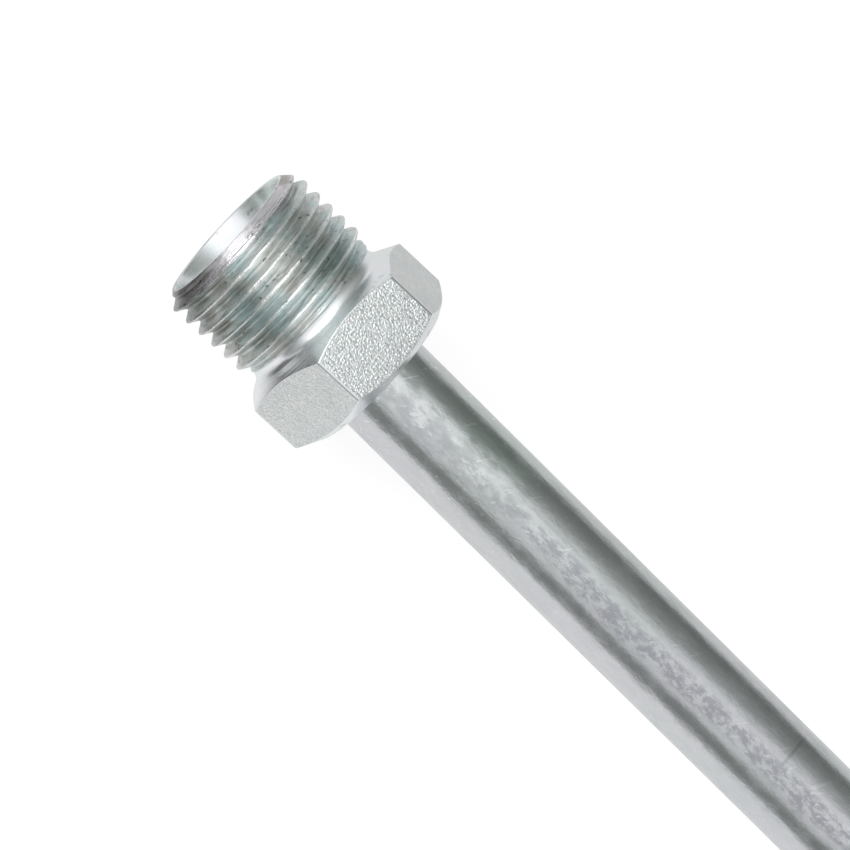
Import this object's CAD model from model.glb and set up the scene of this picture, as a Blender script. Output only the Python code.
import math

import bmesh
import bpy
from mathutils import Euler, Matrix, Vector

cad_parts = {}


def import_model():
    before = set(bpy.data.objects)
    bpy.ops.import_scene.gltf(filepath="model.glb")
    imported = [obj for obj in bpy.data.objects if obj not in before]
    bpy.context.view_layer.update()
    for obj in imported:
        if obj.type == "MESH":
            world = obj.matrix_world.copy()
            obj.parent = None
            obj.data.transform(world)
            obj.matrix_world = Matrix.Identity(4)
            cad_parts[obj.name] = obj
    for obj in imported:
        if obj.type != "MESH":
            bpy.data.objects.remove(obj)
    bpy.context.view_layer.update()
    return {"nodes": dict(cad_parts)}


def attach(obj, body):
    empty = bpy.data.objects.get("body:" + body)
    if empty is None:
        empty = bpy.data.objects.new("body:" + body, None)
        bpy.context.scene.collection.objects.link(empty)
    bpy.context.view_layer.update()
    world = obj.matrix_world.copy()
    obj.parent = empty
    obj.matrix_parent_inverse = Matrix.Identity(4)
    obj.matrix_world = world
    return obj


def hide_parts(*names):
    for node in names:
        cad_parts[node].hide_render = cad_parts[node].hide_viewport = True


MM = 0.001
TURN = 2 * math.pi
TOUCH = 0.01 * MM  # what lies closer counts as touching

# Where the two ends lie, in the frame of the solids
MOUTH_X = -109.106 * MM
END_Y = 76 * MM
AXIS_HEIGHT = 8.65 * MM
TUBE_LEAN = math.radians(2.1)
TUBE_RISE = math.radians(0.719)
SOCKET_FLOOR = 10.5 * MM

# Port fitting: x runs from the mouth's face
THREAD_PITCH = 1.5 * MM
CREST_RADIUS = 8.03 * MM
ROOT_RADIUS = 7.12 * MM
RIM_RADIUS = 6.85 * MM
THREAD_END = 8.77 * MM
RUN_OUT_RADIUS = 7.48 * MM
NECK_RADIUS = 7.28 * MM
NECK_START = 9.88 * MM
NECK_END = 10.57 * MM
HEX_APOTHEM = 8.65 * MM
HEX_CORNER = HEX_APOTHEM / math.cos(math.pi / 6)
CHAMFER_SLOPE = math.tan(math.radians(30))
REAR_CORNER = 16.874 * MM
FITTING_END = 18.195 * MM
REAR_FACE_RADIUS = 7.7 * MM
MOUTH_RADIUS = 6.55 * MM
MOUTH_EDGE_DEPTH = 0.09 * MM
MOUTH_EDGE_WIDTH = 0.08 * MM
MOUTH_EDGE_CONE_DROP = 0.02 * MM  # how much the cone narrows over the edge's depth
SEAT_RADIUS = 5.147 * MM
SEAT_CONE_DEPTH = 6.6 * MM
SEAT_END = 7.6 * MM
OIL_BORE_RADIUS = 4 * MM
OIL_BORE_EDGE = 0.3 * MM
SEAT_STEP_EDGE = 0.2 * MM
SOCKET_RADIUS = 5.364 * MM
COUNTERSINK = 1.2 * MM
NECK_FILLET = 0.66 * MM
FRONT_EDGE_ROUND = 0.07 * MM
REAR_EDGE_ROUND = 0.12 * MM
FACE_EDGE_ROUND = 0.1 * MM
HEX_EDGE_BLEND = 0.22 * MM

# A port fitting's finishes, in the order of its material slots
TURNED, FLAT, BORE, THREAD = range(4)

# Steel tube, braze ring and ferrule: x runs along the tube from the socket's floor
SOCKET_DEPTH = FITTING_END - SOCKET_FLOOR
TUBE_RADIUS = 4.7625 * MM
TUBE_BORE_RADIUS = 3.86 * MM
TUBE_START = 0.5 * MM
TUBE_EDGE_CHAMFER = 0.3 * MM
FERRULE_FRONT = 177.435 * MM
FERRULE_MOUTH = 207.435 * MM
BELL_START = 203.435 * MM
STEM_TIP = 205.435 * MM
BEAD_START = 179.935 * MM
BEAD_ROUND = 0.9 * MM
SHOULDER_ROUND = 3.2 * MM
BARREL_RADIUS = 10.6 * MM
BELL_RADIUS = 11.2 * MM
BELL_SLOPE = 1 * MM
FERRULE_BORE_RADIUS = 8.9 * MM
FERRULE_WALL_AT_FRONT = 2.2 * MM
BELL_EDGE_ROUND = 0.45 * MM
BELL_EDGE_CHAMFER = 0.5 * MM
CRIMP_START = FERRULE_FRONT + 5.5 * MM
CRIMP_END = BELL_START - 2 * MM
CRIMP_SLOPE = 1 * MM
CRIMP_DEPTH = 0.6 * MM
CRIMP_FLATS = 8
SLIP = 0.02 * MM  # how far the braze reaches into the tube's skin
CLEARANCE = 0.02 * MM  # between the tube and the ferrule's front hole
BRAZE_DEPTH = 1.1 * MM
BRAZE_THICKNESS = 0.4 * MM
BRAZE_TAIL = 0.6 * MM  # along the tube, behind the rear face
BRAZE_LUMP = 0.04 * MM

# Rubber hose
HOSE_RADIUS = 9.5 * MM
HOSE_SWELL_START = 0.5 * MM
HOSE_SWELL_LENGTH = 5 * MM
HOSE_CLEARANCE = 0.05 * MM  # between the hose and the ferrule's bore
HOSE_HALF_ROUTE = [
    (109.2, -83.6, 11.3),
    (126.0, -84.2, 11.3),
    (143.0, -84.9, 11.2),
    (163.2, -85.6, 10.7),
    (183.3, -84.6, 10.1),
    (202.7, -79.2, 9.7),
    (220.4, -69.4, 9.6),
    (235.2, -55.7, 9.6),
    (246.4, -38.9, 9.6),
    (253.4, -20.0, 9.6),
    (255.7, 0.0, 9.6),
]

# How finely the round pieces are divided
THREAD_COLUMNS = 180
CORNER_CROWDING = 0.15
ROUND_COLUMNS = 96
HOSE_COLUMNS = 64
BARREL_ROWS = 48


class Wire:
    """An output socket. Arithmetic on it adds Math nodes to its tree."""

    def __init__(self, recipe, socket):
        self.recipe = recipe
        self.socket = socket

    def math(self, operation, *others):
        return self.recipe.math(operation, self, *others)

    def __add__(self, other):
        return self.math("ADD", other)

    def __radd__(self, other):
        return self.recipe.math("ADD", other, self)

    def __sub__(self, other):
        return self.math("SUBTRACT", other)

    def __rsub__(self, other):
        return self.recipe.math("SUBTRACT", other, self)

    def __mul__(self, other):
        return self.math("MULTIPLY", other)

    def __rmul__(self, other):
        return self.recipe.math("MULTIPLY", other, self)

    def __truediv__(self, other):
        return self.math("DIVIDE", other)

    def __rtruediv__(self, other):
        return self.recipe.math("DIVIDE", other, self)


class Recipe:
    """Adds nodes to one tree: settings first, then the sockets' values and links."""

    def __init__(self, tree):
        self.tree = tree

    def node(self, kind, settings=None, sockets=None):
        made = self.tree.nodes.new(kind)
        for name, setting in (settings or {}).items():
            if name == "stops":
                self.set_stops(made.color_ramp, setting)
            else:
                setattr(made, name, setting)
        for name, value in (sockets or {}).items():
            self.feed(made.inputs[name], value)
        return made

    def add(self, kind, settings=None, sockets=None, output=0):
        return Wire(self, self.node(kind, settings, sockets).outputs[output])

    def set_stops(self, ramp, stops):
        while len(ramp.elements) < len(stops):
            ramp.elements.new(1)
        for element, (place, color) in zip(ramp.elements, stops):
            element.position = place
            element.color = (*color, 1)

    def feed(self, socket, value):
        if isinstance(value, Wire):
            self.tree.links.new(value.socket, socket)
        else:
            socket.default_value = value

    def math(self, operation, *values):
        return self.add("ShaderNodeMath", {"operation": operation}, dict(enumerate(values)))

    def mix_color(self, factor, first, second):
        return self.add("ShaderNodeMix", {"data_type": "RGBA"}, {0: factor, 6: first, 7: second}, 2)

    def vector_math(self, operation, first, second):
        return self.add("ShaderNodeVectorMath", {"operation": operation}, {0: first, 1: second})

    def coordinates(self, place):
        """The x, y and z of a place, each by itself."""
        parts = self.node("ShaderNodeSeparateXYZ", None, {0: place})
        return [Wire(self, output) for output in parts.outputs]

    def object_place(self, location=(0, 0, 0), rotation=(0, 0, 0), scale=(1, 1, 1)):
        """Object coordinates, centred and turned, then stretched."""
        place = self.add("ShaderNodeTexCoord", output="Object")
        turned = self.add(
            "ShaderNodeMapping",
            {"vector_type": "TEXTURE"},
            {"Vector": place, "Location": location, "Rotation": rotation},
        )
        return self.vector_math("MULTIPLY", turned, scale)

    def noise(self, place, scale, detail=3, roughness=0.55):
        return self.add(
            "ShaderNodeTexNoise",
            None,
            {"Vector": place, "Scale": scale, "Detail": detail, "Roughness": roughness},
            "Fac",
        )

    def ramp(self, value, low, high):
        """0 below low, 1 above high, smooth between."""
        return self.add(
            "ShaderNodeMapRange",
            {"interpolation_type": "SMOOTHSTEP"},
            {"Value": value, "From Min": low, "From Max": high},
        )

    def bump(self, height, distance):
        return self.add("ShaderNodeBump", None, {"Height": height, "Distance": distance}, "Normal")


def gray(level):
    return (level, level, level, 1)


def new_finish(name):
    """A material with a bare Principled shader, and the recipe that feeds it."""
    material = bpy.data.materials.new(name)
    material.use_nodes = True
    recipe = Recipe(material.node_tree)
    shader = material.node_tree.nodes["Principled BSDF"]
    return material, recipe, shader


def zinc_tint(recipe, place, scale, shine=1):
    """Clear zinc plating: grey with a green-blue cast that drifts to lilac in patches."""
    green, blue, lilac = (
        (red * shine, middle * shine, last * shine, 1)
        for red, middle, last in ((0.72, 0.8, 0.765), (0.79, 0.825, 0.825), (0.83, 0.8, 0.87))
    )
    patches = recipe.noise(place, scale, detail=2)
    drift = recipe.noise(place, scale * 0.31, detail=1)
    base = recipe.mix_color(recipe.ramp(patches, 0.35, 0.65), green, blue)
    return recipe.mix_color(recipe.ramp(drift, 0.42, 0.66) * 0.5, base, lilac)


def turned_plating(name, end_y, roughness, ring_depth):
    """Turned and plated: fine rings left by the tool run round the fitting's axis."""
    material, recipe, shader = new_finish(name)
    center = (MOUTH_X, end_y, AXIS_HEIGHT)
    rings = recipe.noise(recipe.object_place(center, scale=(1, 0.012, 0.012)), 9000, detail=4)
    broad_rings = recipe.noise(recipe.object_place(center, scale=(1, 0.03, 0.03)), 2600, detail=2)
    pits = recipe.noise(recipe.object_place(center), 3500, detail=2)
    grime = recipe.noise(recipe.object_place(center, scale=(1, 0.35, 0.35)), 900, detail=4, roughness=0.7)
    tint = zinc_tint(recipe, recipe.object_place(center, scale=(1, 0.5, 0.5)), 330, shine=1.19)
    recipe.feed(shader.inputs["Base Color"], recipe.mix_color(
        recipe.ramp(grime, 0.57, 0.7) * 0.5, tint, (0.25, 0.26, 0.24, 1)
    ))
    shader.inputs["Metallic"].default_value = 1
    recipe.feed(shader.inputs["Roughness"], roughness + recipe.ramp(broad_rings, 0.4, 0.7) * 0.08)
    height = rings + broad_rings * 0.6 + pits * 0.35
    recipe.feed(shader.inputs["Normal"], recipe.bump(height, ring_depth))
    return material


def thread_plating(name, end_y):
    """The cut thread: torn flanks, oil-dark roots, and crests rubbed bright with small nicks."""
    material, recipe, shader = new_finish(name)
    center = (MOUTH_X, end_y, AXIS_HEIGHT)
    along, across, over = recipe.coordinates(recipe.object_place(center))
    radius = (across * across + over * over).math("SQRT")
    root = recipe.ramp(radius, 7.62 * MM, 7.2 * MM) * recipe.ramp(along, 9.1 * MM, 8.6 * MM)
    crest = recipe.ramp(radius, 7.9 * MM, 7.99 * MM)
    lead = recipe.ramp(along, 1.35 * MM, 1.05 * MM)
    rings = recipe.noise(recipe.object_place(center, scale=(1, 0.02, 0.02)), 7000, detail=4)
    tears = recipe.noise(recipe.object_place(center, scale=(1, 0.08, 0.08)), 4200, detail=4, roughness=0.7)
    stains = recipe.noise(recipe.object_place(center, scale=(1, 0.4, 0.4)), 520, detail=3, roughness=0.6)
    nicks = recipe.noise(recipe.object_place(center, scale=(1, 0.6, 0.6)), 3400, detail=2)
    soil = recipe.noise(recipe.object_place(center, scale=(1, 0.4, 0.4)), 900, detail=4, roughness=0.7)
    pitted = recipe.ramp(nicks, 0.62, 0.68) * recipe.ramp(soil, 0.49, 0.56)
    patches = recipe.noise(recipe.object_place(center, scale=(0.6, 1, 1)), 300, detail=3)
    base = recipe.mix_color(recipe.ramp(patches, 0.4, 0.6), (0.69, 0.79, 0.79, 1), (0.84, 0.85, 0.83, 1))
    lilac = recipe.mix_color(lead * 0.85, base, (0.83, 0.79, 0.84, 1))
    soiled = recipe.mix_color(recipe.ramp(soil, 0.5, 0.66) * 0.42, lilac, (0.42, 0.44, 0.4, 1))
    lined = recipe.mix_color(recipe.ramp(tears, 0.52, 0.62) * 0.5, soiled, (0.3, 0.32, 0.31, 1))
    oiled = recipe.mix_color(root * recipe.ramp(stains, 0.45, 0.65) * 0.7, lined, (0.3, 0.3, 0.26, 1))
    rubbed = recipe.mix_color(crest * recipe.ramp(rings, 0.42, 0.58), oiled, (0.97, 0.97, 0.96, 1))
    recipe.feed(shader.inputs["Base Color"], recipe.mix_color(
        pitted * 0.85, rubbed, (0.14, 0.13, 0.13, 1)
    ))
    shader.inputs["Metallic"].default_value = 1
    recipe.feed(shader.inputs["Roughness"], 0.32 + root * 0.06 - crest * 0.15 - lead * 0.08)
    height = rings * 1.6 + tears * 1.6 + nicks * 0.8
    recipe.feed(shader.inputs["Normal"], recipe.bump(height, 0.055 * MM))
    return material


def bar_flat_plating(name, end_y):
    """The hexagon's flats: the rolled bar's grain under the plating, sharpest on the flat on top."""
    material, recipe, shader = new_finish(name)
    place = recipe.object_place((MOUTH_X, end_y, AXIS_HEIGHT))
    _, _, height_over_axis = recipe.coordinates(place)
    top = recipe.ramp(height_over_axis, 8.2 * MM, 8.6 * MM)
    grain = recipe.noise(place, 5200, detail=2, roughness=0.5)
    pores = recipe.noise(place, 4600, detail=3, roughness=0.7)
    drift = recipe.noise(place, 420, detail=3)
    sides = recipe.mix_color(recipe.ramp(drift, 0.35, 0.65), (0.8, 0.84, 0.84, 1), (0.85, 0.87, 0.87, 1))
    tint = recipe.mix_color(top, sides, (0.96, 1, 1, 1))
    recipe.feed(shader.inputs["Base Color"], recipe.mix_color(
        recipe.ramp(pores, 0.53, 0.61) * (0.16 + top * 0.34), tint, (0.48, 0.5, 0.52, 1)
    ))
    shader.inputs["Metallic"].default_value = 1
    recipe.feed(shader.inputs["Roughness"], 0.2 + pores * 0.1)
    height = recipe.ramp(grain, 0.32, 0.68) * (0.6 + top * 0.4)
    recipe.feed(shader.inputs["Normal"], recipe.bump(height, 0.06 * MM))
    return material


def drawn_tube_plating(name, end_y, side):
    """Drawn steel tube under plating: lengthwise lines, a dull mottled strip, scratches and a cross mark."""
    material, recipe, shader = new_finish(name)
    pivot = (MOUTH_X + SOCKET_FLOOR, end_y, AXIS_HEIGHT)
    turn = (0, -TUBE_RISE, side * TUBE_LEAN)
    x, y, z = recipe.coordinates(recipe.object_place(pivot, turn))
    around = (0 - y).math("ARCTAN2", z)
    lines = recipe.noise(recipe.object_place(pivot, turn, (0.03, 1, 1)), 2600, detail=4)
    waves = recipe.noise(recipe.object_place(pivot, turn, (0.16, 1, 1)), 420, detail=2)
    spangle = recipe.noise(recipe.object_place(pivot, turn, (0.5, 1, 1)), 620, detail=4, roughness=0.65)
    mottle = recipe.noise(recipe.object_place(pivot, turn, (0.5, 1, 1)), 1500, detail=4, roughness=0.75)
    strokes = recipe.noise(recipe.object_place(pivot, (0.3, 0.2, 0.9), (0.1, 1.3, 1.3)), 1500, detail=2)
    strip = recipe.ramp((around - 0.28 + (waves - 0.5) * 0.5).math("ABSOLUTE"), 0.27, 0.1)
    near = recipe.ramp(x, 40 * MM, 9 * MM)
    top = recipe.ramp((around - 0.1).math("ABSOLUTE"), 0.5, 0.2)
    worn = recipe.ramp(mottle, 0.4, 0.58) * (0.1 + strip * (1 - near * 0.75) * 0.75)
    tint = zinc_tint(recipe, recipe.object_place(pivot, turn, (0.35, 1, 1)), 190, shine=0.87)
    lilac = recipe.mix_color(recipe.ramp(waves, 0.4, 0.7) * 0.5, tint, (0.7, 0.725, 0.74, 1))
    fresh = recipe.mix_color(near * top * recipe.ramp(spangle, 0.42, 0.6) * 0.9, lilac, (0.96, 1, 1, 1))
    dulled = recipe.mix_color(worn, fresh, (0.41, 0.42, 0.46, 1))
    scratch = recipe.ramp(strokes, 0.64, 0.7) * (0.15 + top * 0.25 + near * 0.45)
    scraped = recipe.mix_color(scratch, dulled, (0.93, 0.96, 1, 1))
    arc = around * around * (0.5 * MM) + 57 * MM
    reach = recipe.ramp(around, 0.2, 0.05) * recipe.ramp(around, -1, -0.4)
    mark = recipe.ramp((x - arc).math("ABSOLUTE"), 0.24 * MM, 0.06 * MM) * reach
    recipe.feed(shader.inputs["Base Color"], recipe.mix_color(mark * 0.45, scraped, (0.36, 0.4, 0.38, 1)))
    shader.inputs["Metallic"].default_value = 1
    haze = recipe.ramp(spangle, 0.4, 0.68) * 0.14 + recipe.ramp(lines, 0.5, 0.7) * 0.05
    recipe.feed(shader.inputs["Roughness"], 0.17 + haze)
    height = lines * 0.3 + waves * 2.4 + spangle * 2.2 + mottle * 0.6 + scratch * 0.3
    recipe.feed(shader.inputs["Normal"], recipe.bump(height, 0.02 * MM))
    return material


def rubber_cover(name, route_mapped=True):
    """Matt black rubber with the fine diagonal print of the cloth it was cured in."""
    material, recipe, shader = new_finish(name)
    place = recipe.object_place()
    if route_mapped:
        wrap = recipe.add("ShaderNodeUVMap", {"uv_map": "along_hose"})
    else:
        wrap = place
    weave = recipe.add(
        "ShaderNodeTexWave",
        {"wave_type": "BANDS", "bands_direction": "DIAGONAL"},
        {"Vector": wrap, "Scale": 900, "Distortion": 1.5, "Detail": 1},
        "Fac",
    )
    grain = recipe.noise(place, 2400, detail=3)
    dust = recipe.noise(place, 120, detail=4)
    recipe.feed(shader.inputs["Base Color"], recipe.mix_color(
        recipe.ramp(dust, 0.4, 0.75) * 0.5, (0.016, 0.016, 0.017, 1), (0.045, 0.045, 0.043, 1)
    ))
    recipe.feed(shader.inputs["Roughness"], 0.5 + grain * 0.25)
    recipe.feed(shader.inputs["Normal"], recipe.bump(weave * 0.5 + grain * 0.6, 0.05 * MM))
    return material


def ferrule_plating(name, end_y, side):
    """Pressed steel under plating, duller where the crimping dies have burnished and dragged it."""
    material, recipe, shader = new_finish(name)
    pivot = (MOUTH_X + SOCKET_FLOOR, end_y, AXIS_HEIGHT)
    turn = (0, -TUBE_RISE, side * TUBE_LEAN)
    place = recipe.object_place(pivot, turn)
    drag = recipe.noise(recipe.object_place(pivot, turn, (0.08, 1, 1)), 1800, detail=3)
    rings = recipe.noise(recipe.object_place(pivot, turn, (1, 0.02, 0.02)), 3000, detail=3)
    blotches = recipe.noise(place, 330, detail=4, roughness=0.6)
    tint = zinc_tint(recipe, place, 150)
    recipe.feed(shader.inputs["Base Color"], recipe.mix_color(
        recipe.ramp(blotches, 0.58, 0.78) * 0.35, tint, (0.36, 0.37, 0.36, 1)
    ))
    shader.inputs["Metallic"].default_value = 1
    recipe.feed(shader.inputs["Roughness"], 0.22 + recipe.ramp(drag, 0.4, 0.7) * 0.14)
    recipe.feed(shader.inputs["Normal"], recipe.bump(drag * 0.6 + rings * 0.5 + blotches, 0.012 * MM))
    return material


def braze_metal(name):
    """Braze under the plating: a little yellower and lumpier than the steel beside it."""
    material, recipe, shader = new_finish(name)
    place = recipe.object_place()
    lumps = recipe.noise(place, 1300, detail=3)
    tint = recipe.mix_color(recipe.ramp(lumps, 0.4, 0.65), (0.5, 0.51, 0.48, 1), (0.58, 0.6, 0.57, 1))
    recipe.feed(shader.inputs["Base Color"], tint)
    shader.inputs["Metallic"].default_value = 1
    recipe.feed(shader.inputs["Roughness"], 0.3 + lumps * 0.2)
    recipe.feed(shader.inputs["Normal"], recipe.bump(lumps, 0.08 * MM))
    return material


def place_camera():
    """The photograph's viewpoint: close above end a's fitting, the tube running to the lower right."""
    target = Vector((MOUTH_X + 24.291 * MM, -76.518 * MM, AXIS_HEIGHT))
    azimuth = math.radians(-128.258)
    elevation = math.radians(72.793)
    roll = math.radians(79.739)
    distance = 400  # in millimetres
    picture_width = 850
    focal_length = 4568.1  # in the picture's pixels
    level_share = math.cos(elevation)
    back = Vector((level_share * math.cos(azimuth), level_share * math.sin(azimuth), math.sin(elevation)))
    level = Vector((0, 0, 1)).cross(back).normalized()
    upright = back.cross(level)
    right = level * math.cos(roll) + upright * math.sin(roll)
    up = upright * math.cos(roll) - level * math.sin(roll)
    lens = bpy.data.cameras.new("product_camera")
    lens.sensor_width = 36
    lens.lens = lens.sensor_width * focal_length / picture_width
    lens.clip_start = 0.01
    camera = bpy.data.objects.new("product_camera", lens)
    bpy.context.scene.collection.objects.link(camera)
    place = Matrix((right, up, back)).transposed().to_4x4()
    place.translation = target + back * distance * MM
    camera.matrix_world = place
    bpy.context.scene.camera = camera


def wall_tint(level):
    """The studio's darker walls are a touch green, and its bright ceiling a touch blue."""
    green = max(0, 0.6 - level) * 0.12
    return (level * (1 - green), level * (1 + green * 0.35), level * (1.01 - green))


def studio_sky():
    """The studio that the metal mirrors: bright overhead and ahead, darker aside. The camera sees white."""
    world = bpy.data.worlds.new("studio_sky")
    world.use_nodes = True
    world.node_tree.nodes.clear()
    bpy.context.scene.world = world
    recipe = Recipe(world.node_tree)
    x, y, z = recipe.coordinates(recipe.add("ShaderNodeTexCoord", output="Generated"))
    around = (0 - y).math("ARCTAN2", z) / math.pi * 0.5 + 0.5
    # Brightness by degrees round the X axis, from straight up towards -Y
    levels = [
        (-95, 0.19), (-75, 0.185), (-60, 0.235), (-46, 0.3), (-33, 0.41), (-21, 0.69), (-11, 0.86),
        (0, 0.79), (12, 0.74), (30, 0.72), (49, 0.67), (57, 0.3), (73, 0.23), (80, 0.3),
        (88, 0.47), (97, 0.53),
    ]
    stops = [(angle / 360 + 0.5, wall_tint(level)) for angle, level in levels]
    overhead = recipe.add("ShaderNodeValToRGB", {"stops": stops}, {"Fac": around})
    rear = recipe.ramp(x, 0.35, 0.8) * 0.65
    color = recipe.mix_color(rear, overhead, gray(0.5))
    ahead = recipe.ramp(x, 0.12, -0.35)
    dark_corner = recipe.ramp(x, 0.12, -0.12) * recipe.ramp(around, 0.69, 0.73)
    strength = 1 + ahead * 0.47 - dark_corner * 0.6
    seen = recipe.add("ShaderNodeLightPath", output="Is Camera Ray")
    background = recipe.add("ShaderNodeBackground", None, {
        "Color": recipe.mix_color(seen, color, gray(1)), "Strength": strength * (1 - seen) + seen
    })
    recipe.node("ShaderNodeOutputWorld", None, {"Surface": background})


def floor_glow(recipe):
    """What the metal mirrors of the floor: pale outside end a, dim towards end b, dark by end a's mouth."""
    x, y, _ = recipe.coordinates(recipe.add("ShaderNodeTexCoord", output="Object"))
    level = 0.83 - recipe.ramp(y, -95 * MM, -60 * MM) * 0.13 - recipe.ramp(y, -57 * MM, 80 * MM) * 0.42
    # The shade starts under the mouth and widens as it runs away from it
    ahead, aside = x + 108 * MM, y + 80 * MM
    heading_x, heading_y = 0.731, 0.682
    reach = ahead * -heading_x - aside * heading_y
    offset = (ahead * heading_y - aside * heading_x).math("ABSOLUTE")
    width = 13 * MM + reach.math("MAXIMUM", 0) * 0.42
    starts_and_ends = recipe.ramp(reach, -4 * MM, 11 * MM) * recipe.ramp(reach, 200 * MM, 100 * MM)
    shade = recipe.ramp(offset / width, 1.2, 0.5) * starts_and_ends
    return level * (1 - shade * 0.88)


def studio_floor():
    """A wide pale floor that looks white and keeps a soft shadow."""
    mesh = bpy.data.meshes.new("studio_floor")
    reach = 20
    corners = [(-reach, -reach, 0), (reach, -reach, 0), (reach, reach, 0), (-reach, reach, 0)]
    mesh.from_pydata(corners, [], [(0, 1, 2, 3)])
    floor = bpy.data.objects.new("studio_floor", mesh)
    bpy.context.scene.collection.objects.link(floor)
    material = bpy.data.materials.new("white_floor")
    material.use_nodes = True
    material.node_tree.nodes.clear()
    recipe = Recipe(material.node_tree)
    paths = recipe.node("ShaderNodeLightPath")
    camera, glossy, through = (
        Wire(recipe, paths.outputs[f"Is {ray} Ray"]) for ray in ("Camera", "Glossy", "Transmission")
    )
    mirrored = glossy.math("MAXIMUM", through) * (1 - camera)
    tone = recipe.mix_color(mirrored, gray(0.25), gray(0.03))
    paint = recipe.add("ShaderNodeBsdfDiffuse", None, {"Color": tone})
    strength = camera * 0.86 + mirrored * floor_glow(recipe)
    glow = recipe.add("ShaderNodeEmission", None, {"Color": gray(1), "Strength": strength})
    both = recipe.add("ShaderNodeAddShader", None, {0: paint, 1: glow})
    recipe.node("ShaderNodeOutputMaterial", None, {"Surface": both})
    mesh.materials.append(material)


def softbox(name, location, target, width, height, power):
    """A rectangular area light that faces its target."""
    lamp = bpy.data.lights.new(name, "AREA")
    lamp.shape = "RECTANGLE"
    lamp.size = width
    lamp.size_y = height
    lamp.energy = power
    box = bpy.data.objects.new(name, lamp)
    bpy.context.scene.collection.objects.link(box)
    box.location = location
    box.rotation_euler = (Vector(target) - Vector(location)).to_track_quat("-Z", "Y").to_euler()


def column_angle(turn_share):
    """Angle from +Y towards +Z. The columns crowd together at the hexagon's six corners."""
    return TURN * turn_share - CORNER_CROWDING * math.sin(6 * TURN * turn_share)


def thread_tree():
    """Geometry Nodes: a helical thread on a chamfered barrel that runs out into a neck, along +X."""
    tree = bpy.data.node_groups.new("helical_thread", "GeometryNodeTree")
    sizes = [
        ("Pitch", THREAD_PITCH), ("Crest Radius", CREST_RADIUS), ("Root Radius", ROOT_RADIUS),
        ("Rim Radius", RIM_RADIUS), ("Thread End", THREAD_END), ("Run Out Radius", RUN_OUT_RADIUS),
        ("Neck Radius", NECK_RADIUS), ("Neck Start", NECK_START), ("Start Turn", 0.0),
    ]
    for name, size in sizes:
        socket = tree.interface.new_socket(name, in_out="INPUT", socket_type="NodeSocketFloat")
        socket.default_value = size
    for name in ("Turns", "Rows Per Turn", "Columns"):
        tree.interface.new_socket(name, in_out="INPUT", socket_type="NodeSocketInt")
    tree.interface.new_socket("Material", in_out="INPUT", socket_type="NodeSocketMaterial")
    tree.interface.new_socket("Geometry", in_out="OUTPUT", socket_type="NodeSocketGeometry")
    recipe = Recipe(tree)
    given = recipe.node("NodeGroupInput")
    size = {socket.name: Wire(recipe, socket) for socket in given.outputs if socket.name}
    grid = recipe.add("GeometryNodeMeshGrid", None, {
        "Size X": 1.0, "Size Y": 1.0, "Vertices X": size["Columns"] + 1,
        "Vertices Y": size["Turns"] * size["Rows Per Turn"] + 1,
    }, "Mesh")
    column, row, _ = recipe.coordinates(recipe.add("GeometryNodeInputPosition"))
    around = column + 0.5
    turns = (row + 0.5) * size["Turns"]
    angle = around * TURN - (around * (6 * TURN)).math("SINE") * CORNER_CROWDING
    along = size["Pitch"] * (turns - 1 + angle / TURN - size["Start Turn"])
    x = along.math("MAXIMUM", 0).math("MINIMUM", size["Neck Start"])
    phase = turns.math("FRACT")
    slant = 1 - (phase * 2 - 1).math("ABSOLUTE")
    depth = size["Crest Radius"] - size["Root Radius"]
    root_round, crest_round = 0.2, 0.12
    flank = slant * 1.32 - 0.2
    rise = flank.math("SMOOTH_MAX", 0.0, root_round).math("SMOOTH_MIN", 1.0, crest_round)
    thread = size["Root Radius"] + depth * rise
    lead = size["Rim Radius"] + x
    run_out_slope = 1.2
    fallen = size["Crest Radius"] - (x - size["Thread End"]) * run_out_slope
    run_out = fallen.math("MAXIMUM", size["Run Out Radius"])
    neck = (size["Neck Radius"] + (size["Neck Start"] - x)).math("MINIMUM", run_out)
    fade = recipe.ramp(x, size["Thread End"] + 0.9 * MM, size["Neck Start"])
    radius = thread.math("MINIMUM", lead).math("MINIMUM", neck)
    radius = radius + (size["Neck Radius"] - radius) * fade
    position = recipe.add("ShaderNodeCombineXYZ", None, {
        "X": x, "Y": radius * angle.math("COSINE"), "Z": radius * angle.math("SINE")
    })
    shaped = recipe.add("GeometryNodeSetPosition", None, {"Geometry": grid, "Position": position})
    merged = recipe.add("GeometryNodeMergeByDistance", None, {"Geometry": shaped, "Distance": 0.002 * MM})
    real = recipe.add("GeometryNodeRealizeInstances", None, {"Geometry": merged})
    painted = recipe.add("GeometryNodeSetMaterial", None, {"Geometry": real, "Material": size["Material"]})
    recipe.node("NodeGroupOutput", None, {"Geometry": painted})
    return tree


def grown_mesh(tree, settings):
    """The plain mesh that a Geometry Nodes tree makes with these inputs."""
    holder = bpy.data.objects.new(tree.name, bpy.data.meshes.new(tree.name))
    bpy.context.scene.collection.objects.link(holder)
    modifier = holder.modifiers.new(tree.name, "NODES")
    modifier.node_group = tree
    sockets = {item.name: item.identifier for item in tree.interface.items_tree if item.in_out == "INPUT"}
    for name, value in settings.items():
        modifier[sockets[name]] = value
    graph = bpy.context.evaluated_depsgraph_get()
    mesh = bpy.data.meshes.new_from_object(holder.evaluated_get(graph), depsgraph=graph)
    bpy.data.objects.remove(holder)
    return mesh


def soft_edge(before, edge, after, reach):
    """Five points that round the corner at edge, between the points before and after it."""
    edge = Vector(edge)
    start = edge + (Vector(before) - edge).normalized() * reach
    end = edge + (Vector(after) - edge).normalized() * reach
    shares = (0, 0.25, 0.5, 0.75, 1)
    return [start * (1 - t) ** 2 + edge * 2 * t * (1 - t) + end * t * t for t in shares]


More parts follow.
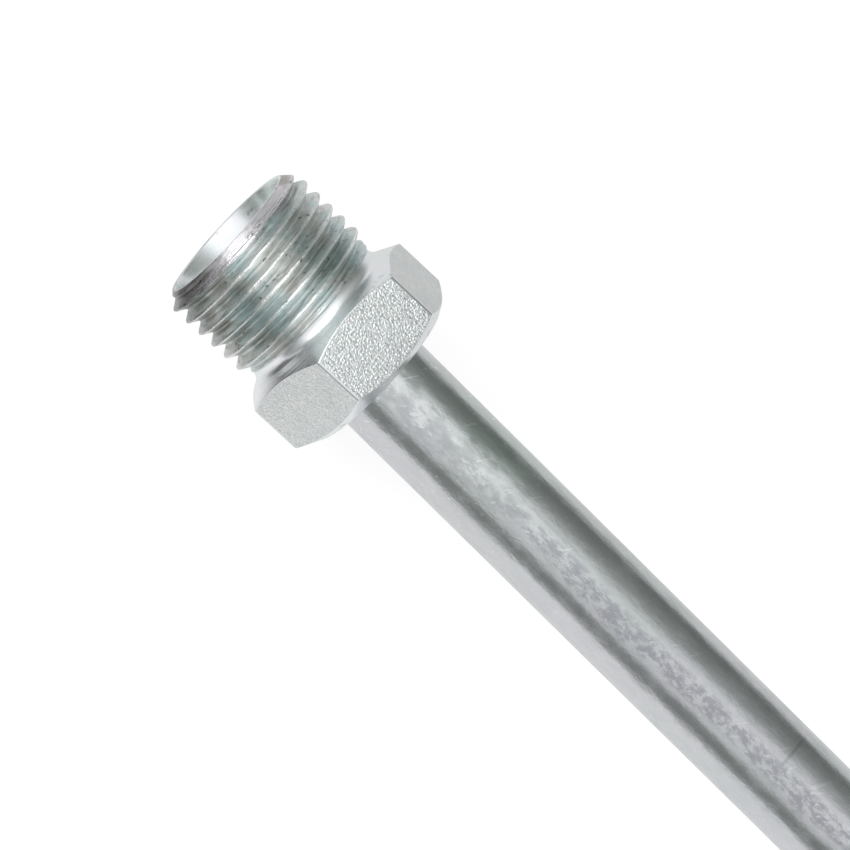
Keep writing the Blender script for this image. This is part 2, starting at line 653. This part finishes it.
def arc_points(x, radius, along, outward, start, end, steps):
    """Outline points round a centre, from one angle in degrees to another: a circle's, or an ellipse's."""
    angles = [math.radians(start + (end - start) * step / steps) for step in range(steps + 1)]
    return [(x + along * math.cos(angle), radius + outward * math.sin(angle)) for angle in angles]


def eased(t):
    """A share from 0 to 1 that starts and ends gently."""
    return t * t * (3 - 2 * t)


def angle_off_corner(angle):
    """Angle from the nearest of the hexagon's six long edges."""
    return (angle + math.pi / 6) % (math.pi / 3) - math.pi / 6


def hexagon_radius(angle):
    """Distance from the axis to the hexagon's side, with its six long edges slightly rounded."""
    off_corner = angle_off_corner(angle)
    first = HEX_APOTHEM / math.cos(off_corner - math.pi / 6)
    second = HEX_APOTHEM / math.cos(off_corner + math.pi / 6)
    overlap = max(HEX_EDGE_BLEND - abs(first - second), 0) / HEX_EDGE_BLEND
    return min(first, second) - overlap * overlap * HEX_EDGE_BLEND / 4


def on_edge(angle):
    """Whether a column's faces lie on the rounding of one of the hexagon's long edges."""
    before, past = 0.022, 0.012  # unequal, because a face reaches from its column to the next
    return -before < angle_off_corner(angle) < past


def fitting_outline(angle):
    """Outline from the neck over the hexagon and back through the bore to the rim, with its finishes."""
    side = hexagon_radius(angle)
    front_edge = (NECK_END + (side - NECK_RADIUS) * CHAMFER_SLOPE, side)
    rear_edge = (REAR_CORNER + (HEX_CORNER - side) * CHAMFER_SLOPE, side)
    neck = [(NECK_START, NECK_RADIUS)]
    neck_end, rear_face = (NECK_END, NECK_RADIUS), (FITTING_END, REAR_FACE_RADIUS)
    fillet = soft_edge((NECK_START, NECK_RADIUS), neck_end, front_edge, NECK_FILLET)
    front = soft_edge(neck_end, front_edge, rear_edge, FRONT_EDGE_ROUND)
    rear = soft_edge(front_edge, rear_edge, rear_face, REAR_EDGE_ROUND)
    face = soft_edge(rear_edge, rear_face, (FITTING_END, SOCKET_RADIUS), FACE_EDGE_ROUND)
    socket = [
        (FITTING_END, SOCKET_RADIUS + COUNTERSINK),
        (FITTING_END - COUNTERSINK, SOCKET_RADIUS),
        (SOCKET_FLOOR, SOCKET_RADIUS),
        (SOCKET_FLOOR, OIL_BORE_RADIUS + OIL_BORE_EDGE),
        (SOCKET_FLOOR - OIL_BORE_EDGE, OIL_BORE_RADIUS),
        (SEAT_END + SEAT_STEP_EDGE, OIL_BORE_RADIUS),
        (SEAT_END, OIL_BORE_RADIUS + SEAT_STEP_EDGE),
        (SEAT_END, SEAT_RADIUS),
        (SEAT_CONE_DEPTH, SEAT_RADIUS),
    ]
    mouth = [
        (MOUTH_EDGE_DEPTH, MOUTH_RADIUS - MOUTH_EDGE_CONE_DROP),
        (0, MOUTH_RADIUS + MOUTH_EDGE_WIDTH),
        (0, RIM_RADIUS),
    ]
    side_finish = TURNED if on_edge(angle) else FLAT
    outline = [(point, TURNED) for point in neck + fillet + front[:3]]
    outline += [(point, side_finish) for point in front[3:] + rear[:2]]
    outline += [(point, TURNED) for point in rear[2:] + face]
    outline += [(point, BORE) for point in socket + mouth]
    return outline


def shape_from_columns(columns, closed):
    """A bmesh from outline columns round an axis. A face takes the finish of its first point."""
    shape = bmesh.new()
    rows = len(columns[0])
    verts = [[shape.verts.new(point) for point, _ in column] for column in columns]
    for place, column in enumerate(verts):
        following = verts[(place + 1) % len(verts)]
        for row in range(rows if closed else rows - 1):
            after = (row + 1) % rows
            face = shape.faces.new((column[row], column[after], following[after], following[row]))
            face.material_index = columns[place][row][1]
    return shape


def finish_shape(shape, name, materials, sharp=32):
    """Merged, faced outwards and shaded smooth, with its real edges sharp."""
    bmesh.ops.remove_doubles(shape, verts=shape.verts, dist=0.001 * MM)
    bmesh.ops.recalc_face_normals(shape, faces=shape.faces)
    mesh = bpy.data.meshes.new(name)
    shape.to_mesh(mesh)
    shape.free()
    for material in materials:
        mesh.materials.append(material)
    mesh.shade_smooth()
    mesh.set_sharp_from_angle(angle=math.radians(sharp))
    piece = bpy.data.objects.new(name, mesh)
    bpy.context.scene.collection.objects.link(piece)
    return piece


def threaded_fitting(end, side, tree):
    """Port fitting: the thread from Geometry Nodes, and one outline per column for the rest."""
    name = f"threaded_fitting_{end}"
    end_y = side * END_Y
    turned = turned_plating(f"turned_zinc_{end}", end_y, roughness=0.19, ring_depth=0.017 * MM)
    flats = bar_flat_plating(f"bar_flat_zinc_{end}", end_y)
    bore = turned_plating(f"bored_zinc_{end}", end_y, roughness=0.24, ring_depth=0.004 * MM)
    thread = thread_plating(f"thread_zinc_{end}", end_y)
    barrel = grown_mesh(tree, {
        "Start Turn": 0.205, "Turns": 9, "Rows Per Turn": 16, "Columns": THREAD_COLUMNS, "Material": thread
    })
    columns = []
    for number in range(THREAD_COLUMNS):
        angle = column_angle(number / THREAD_COLUMNS)
        columns.append([
            ((x, radius * math.cos(angle), radius * math.sin(angle)), finish)
            for (x, radius), finish in fitting_outline(angle)
        ])
    shape = shape_from_columns(columns, closed=False)
    count = len(shape.faces)
    shape.from_mesh(barrel)
    shape.faces.ensure_lookup_table()
    for face in shape.faces[count:]:
        face.material_index = THREAD
    bmesh.ops.translate(shape, verts=shape.verts, vec=(MOUTH_X, end_y, AXIS_HEIGHT))
    piece = finish_shape(shape, name, [turned, flats, bore, thread])
    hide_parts(f"port_fitting_{end}")
    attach(piece, "root")


def tube_place(side):
    """Where the tube's own x, y and z lie: it leans and climbs from the fitting's socket."""
    place = Euler((0, -TUBE_RISE, side * TUBE_LEAN)).to_matrix().to_4x4()
    place.translation = (MOUTH_X + SOCKET_FLOOR, side * END_Y, AXIS_HEIGHT)
    return place


def round_columns(outline, press=None):
    """Columns round the X axis from one outline of (x, radius) points, all in the first finish."""
    columns = []
    for number in range(ROUND_COLUMNS):
        angle = TURN * number / ROUND_COLUMNS
        column = []
        for x, radius in outline:
            pressed = press(x, radius, angle) if press else radius
            column.append(((x, pressed * math.cos(angle), pressed * math.sin(angle)), 0))
        columns.append(column)
    return columns


def round_piece(name, outline, side, material, press=None, sharp=32):
    """A piece turned from one outline, or pressed out of round, and set where the tube lies."""
    shape = shape_from_columns(round_columns(outline, press=press), closed=True)
    bmesh.ops.transform(shape, matrix=tube_place(side), verts=shape.verts)
    return finish_shape(shape, name, [material], sharp)


def bright_tube(end, side):
    """Steel tube, with its bead and plain stem inside the ferrule."""
    rows, spacing = 29, 6 * MM
    stretch = [(TUBE_START + TUBE_EDGE_CHAMFER + spacing * row, TUBE_RADIUS) for row in range(rows)]
    bead_middle = BEAD_START + BEAD_ROUND
    bead = arc_points(bead_middle, TUBE_RADIUS + BEAD_ROUND, BEAD_ROUND, BEAD_ROUND, 180, 0, steps=8)
    outline = [
        (TUBE_START, TUBE_RADIUS - TUBE_EDGE_CHAMFER),
        *stretch,
        (BEAD_START, TUBE_RADIUS),
        *bead,
        (bead_middle + BEAD_ROUND, TUBE_RADIUS),
        (STEM_TIP - TUBE_EDGE_CHAMFER, TUBE_RADIUS),
        (STEM_TIP, TUBE_RADIUS - TUBE_EDGE_CHAMFER),
        (STEM_TIP, TUBE_BORE_RADIUS),
        (TUBE_START, TUBE_BORE_RADIUS),
    ]
    material = drawn_tube_plating(f"drawn_zinc_{end}", side * END_Y, side)
    piece = round_piece(f"bright_tube_{end}", outline, side, material)
    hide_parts(f"steel_tube_{end}")
    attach(piece, "root")


def braze_collar(end, side, material):
    """Braze that fills the socket's countersink and climbs the tube in a small hollow fillet."""
    inner = TUBE_RADIUS - SLIP
    front, rear = SOCKET_DEPTH - BRAZE_DEPTH, SOCKET_DEPTH + BRAZE_TAIL
    length, height = 0.5 * MM, 1.5 * MM
    fillet = arc_points(SOCKET_DEPTH + length, TUBE_RADIUS + height, length, height, 180, 270, steps=6)
    outline = [(front, inner), (front, inner + BRAZE_THICKNESS), *fillet, (rear, inner)]

    def lumpy(x, radius, angle):
        lump = math.sin(3 * angle + 0.7) + 0.6 * math.sin(7 * angle + side) + 0.4 * math.sin(13 * angle)
        return radius if radius <= TUBE_RADIUS + TOUCH else radius + BRAZE_LUMP * lump

    piece = round_piece(f"braze_collar_{end}", outline, side, material, press=lumpy, sharp=60)
    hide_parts(f"braze_ring_{end}")
    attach(piece, "root")


def ferrule_outline():
    """Pressed cup: rounded shoulder, barrel with rows enough for the crimp, bell at the mouth."""
    start, end = FERRULE_FRONT + SHOULDER_ROUND, BELL_START - BELL_SLOPE
    shoulder, edge = SHOULDER_ROUND, BELL_EDGE_ROUND
    outline = arc_points(start, BARREL_RADIUS - shoulder, shoulder, shoulder, 180, 90, steps=8)
    for row in range(1, BARREL_ROWS):
        outline.append((start + (end - start) * row / BARREL_ROWS, BARREL_RADIUS))
    for share in (0, 0.2, 0.4, 0.6, 0.8, 1):
        flare = (BELL_RADIUS - BARREL_RADIUS) * eased(share)
        outline.append((end + share * BELL_SLOPE, BARREL_RADIUS + flare))
    outline += arc_points(FERRULE_MOUTH - edge, BELL_RADIUS - edge, edge, edge, 90, 0, steps=4)
    inside = FERRULE_FRONT + FERRULE_WALL_AT_FRONT
    outline += [
        (FERRULE_MOUTH, FERRULE_BORE_RADIUS + BELL_EDGE_CHAMFER),
        (FERRULE_MOUTH - BELL_EDGE_CHAMFER, FERRULE_BORE_RADIUS),
        (inside, FERRULE_BORE_RADIUS),
        (inside, TUBE_RADIUS + CLEARANCE),
        (FERRULE_FRONT, TUBE_RADIUS + CLEARANCE),
    ]
    return outline


def crimp_press(x, radius, angle):
    """Eight flats pressed into the barrel, easing out at both ends of the dies."""
    end_of_barrel = BELL_START - BELL_SLOPE - 0.1 * MM
    if radius < BARREL_RADIUS - TOUCH or x > end_of_barrel:
        return radius
    into = min((x - CRIMP_START) / CRIMP_SLOPE + 0.5, (CRIMP_END - x) / CRIMP_SLOPE + 0.5)
    flat = TURN / CRIMP_FLATS
    off_flat = (angle - math.pi / 2 + flat / 2) % flat - flat / 2
    pressed = min(radius, (BARREL_RADIUS - CRIMP_DEPTH) / math.cos(off_flat))
    return radius + (pressed - radius) * eased(max(0, min(1, into)))


def crimped_ferrule(end, side):
    """The cup that holds the hose on the tube's stem."""
    material = ferrule_plating(f"pressed_zinc_{end}", side * END_Y, side)
    outline = ferrule_outline()
    piece = round_piece(f"crimped_ferrule_{end}", outline, side, material, press=crimp_press, sharp=50)
    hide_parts(f"crimp_ferrule_{end}")
    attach(piece, "root")


def smooth_route(route, per_span):
    """Dense points on a smooth curve through the route's points."""
    knots = [route[0] * 2 - route[1], *route, route[-1] * 2 - route[-2]]
    dense = []
    for before, start, end, after in zip(knots, knots[1:], knots[2:], knots[3:]):
        for step in range(per_span):
            t = step / per_span
            bend = (before * 2 - start * 5 + end * 4 - after) * t * t
            twist = (start * 3 - before - end * 3 + after) * t * t * t
            dense.append((start * 2 + (end - before) * t + bend + twist) / 2)
    return dense + [route[-1]]


def hose_swell(distance, whole):
    """The hose's radius: squeezed where it goes into a ferrule's bell, full a few millimetres outside it."""
    from_end = min(distance, whole - distance)
    share = max(0, min(1, (from_end - HOSE_SWELL_START) / HOSE_SWELL_LENGTH))
    squeezed = FERRULE_BORE_RADIUS - HOSE_CLEARANCE
    return squeezed + (HOSE_RADIUS - squeezed) * eased(share)


def rubber_hose():
    """The free hose: one tube along the route, with a map that runs along and round it."""
    half = [Vector(point) * MM for point in HOSE_HALF_ROUTE]
    mirrored = [Vector((point.x, -point.y, point.z)) for point in reversed(half[:-1])]
    path = smooth_route(half + mirrored, per_span=10)
    lengths = [0]
    for start, end in zip(path, path[1:]):
        lengths.append(lengths[-1] + (end - start).length)
    shape = bmesh.new()
    layer = shape.loops.layers.uv.new("along_hose")
    rings = []
    for place, point in enumerate(path):
        ahead = (path[min(place + 1, len(path) - 1)] - path[max(place - 1, 0)]).normalized()
        across = Vector((0, 0, 1)).cross(ahead).normalized()
        over = ahead.cross(across)
        radius = hose_swell(lengths[place], lengths[-1])
        ring = []
        for number in range(HOSE_COLUMNS):
            angle = TURN * number / HOSE_COLUMNS
            outward = across * math.cos(angle) + over * math.sin(angle)
            ring.append(shape.verts.new(point + outward * radius))
        rings.append(ring)
    girth = TURN * HOSE_RADIUS
    for place in range(len(rings) - 1):
        for number in range(HOSE_COLUMNS):
            spots = [(place, number), (place, number + 1), (place + 1, number + 1), (place + 1, number)]
            face = shape.faces.new([rings[ring][step % HOSE_COLUMNS] for ring, step in spots])
            for loop, (ring, step) in zip(face.loops, spots):
                loop[layer].uv = (girth * step / HOSE_COLUMNS, lengths[ring])
    shape.faces.new(list(reversed(rings[0])))
    shape.faces.new(rings[-1])
    hose = finish_shape(shape, "black_rubber_hose", [rubber_cover("cloth_marked_rubber")], sharp=60)
    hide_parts("rubber_hose")
    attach(hose, "root")


def dress_gripped_hose(frame, end):
    """The rubber inside the ferrule keeps its solid and gets the rubber's finish."""
    node = frame["nodes"][f"gripped_hose_{end}"]
    material = rubber_cover(f"gripped_rubber_{end}", route_mapped=False)
    for slot in node.material_slots:
        slot.material = material
    if not node.material_slots:
        node.data.materials.append(material)


def main():
    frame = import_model()
    bpy.context.scene.view_settings.view_transform = "Standard"
    place_camera()
    rubber_hose()
    studio_sky()
    studio_floor()
    softbox(
        "front_softbox", location=(-0.75, -0.25, 0.6), target=(-0.1, -0.06, 0.01),
        width=0.5, height=0.4, power=2.2
    )
    tree = thread_tree()
    braze = braze_metal("plated_braze")
    for end, side in (("a", -1), ("b", 1)):
        threaded_fitting(end, side, tree)
        bright_tube(end, side)
        braze_collar(end, side, braze)
        crimped_ferrule(end, side)
        dress_gripped_hose(frame, end)


main()
